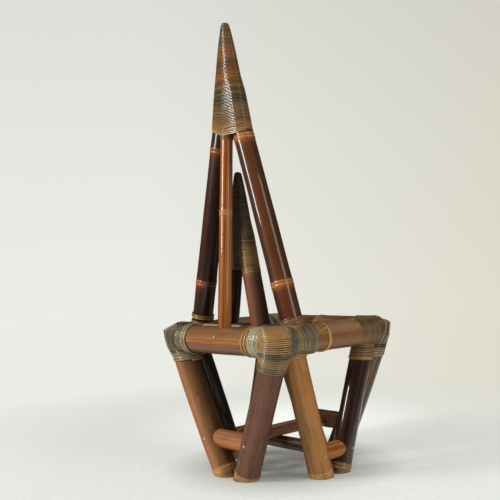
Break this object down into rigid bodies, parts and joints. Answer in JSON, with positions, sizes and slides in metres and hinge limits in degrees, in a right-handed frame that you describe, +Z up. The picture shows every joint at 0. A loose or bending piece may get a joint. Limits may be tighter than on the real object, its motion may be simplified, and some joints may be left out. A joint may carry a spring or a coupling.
{
  "type": "bamboo chair",
  "caption": "Bamboo chair with a square seat frame on paired splayed legs, crossed stretcher bars, a slatted seat and tall and short wound spires as its back, bound in rattan.",
  "frame": {"origin": "on the floor, under the middle of the square seat frame", "axes": "+Z up, -Y the way a sitter faces, +X the chair's left side, spires along the back at +Y"},
  "size_m": [0.5302, 0.5291, 1.3585],
  "materials": {
    "tan_bamboo": "varnished",
    "light_tan_bamboo": "varnished",
    "mauve_brown_bamboo": "varnished",
    "red_brown_bamboo": "varnished",
    "orange_brown_bamboo": "varnished",
    "dark_brown_bamboo": "varnished",
    "black_brown_bamboo": "varnished",
    "olive_rattan": "satin varnished strands",
    "tan_rattan": "satin varnished strands",
    "gold_rattan": "satin varnished strands",
    "peg_wood": "end grain"
  },
  "bodies": {
    "root": {"back_seat_rail": "tan_bamboo", "front_seat_rail": "tan_bamboo", "left_seat_rail": "red_brown_bamboo", "right_seat_rail": "red_brown_bamboo", "spire_cross_rail": "dark_brown_bamboo", "back_leg_left": "light_tan_bamboo", "back_leg_right": "mauve_brown_bamboo", "front_leg_left": "light_tan_bamboo", "front_leg_right": "mauve_brown_bamboo", "left_leg_back": "dark_brown_bamboo", "left_leg_front": "dark_brown_bamboo", "right_leg_back": "light_tan_bamboo", "right_leg_front": "dark_brown_bamboo", "back_stretcher": "orange_brown_bamboo", "front_stretcher": "orange_brown_bamboo", "left_stretcher": "orange_brown_bamboo", "right_stretcher": "orange_brown_bamboo", "upper_cross_bar": "orange_brown_bamboo", "lower_cross_bar": "orange_brown_bamboo", "left_main_pole": "black_brown_bamboo", "right_main_pole": "red_brown_bamboo", "centre_pole": "orange_brown_bamboo", "left_short_pole": "black_brown_bamboo", "right_short_pole": "red_brown_bamboo", "tall_spire_core": "olive_rattan", "short_spire_core": "olive_rattan", "tall_spire_winding": "olive_rattan", "short_spire_winding": "olive_rattan", "back_left_corner_wrap": "olive_rattan", "back_right_corner_wrap": "olive_rattan", "front_left_corner_wrap": "olive_rattan", "front_right_corner_wrap": "olive_rattan", "back_left_leg_lashing": "tan_rattan", "back_right_leg_lashing": "tan_rattan", "front_left_leg_lashing": "tan_rattan", "front_right_leg_lashing": "tan_rattan", "back_rail_tie_left": "gold_rattan", "back_rail_tie_right": "gold_rattan", "left_rail_tie": "gold_rattan", "right_rail_tie": "gold_rattan", "left_pole_tie": "gold_rattan", "right_pole_tie": "gold_rattan", "back_stretcher_peg_left": "peg_wood", "back_stretcher_peg_right": "peg_wood", "front_stretcher_peg_left": "peg_wood", "front_stretcher_peg_right": "peg_wood", "left_stretcher_peg_back": "peg_wood", "left_stretcher_peg_front": "peg_wood", "right_stretcher_peg_back": "peg_wood", "right_stretcher_peg_front": "peg_wood", "centre_pole_peg": "peg_wood", "left_seat_bearer": "light_tan_bamboo", "right_seat_bearer": "light_tan_bamboo", "seat_slat_1": "light_tan_bamboo", "seat_slat_2": "light_tan_bamboo", "seat_slat_3": "light_tan_bamboo", "seat_slat_4": "light_tan_bamboo", "seat_slat_5": "light_tan_bamboo", "seat_slat_6": "light_tan_bamboo", "seat_slat_7": "light_tan_bamboo"}
  },
  "joints": []
}
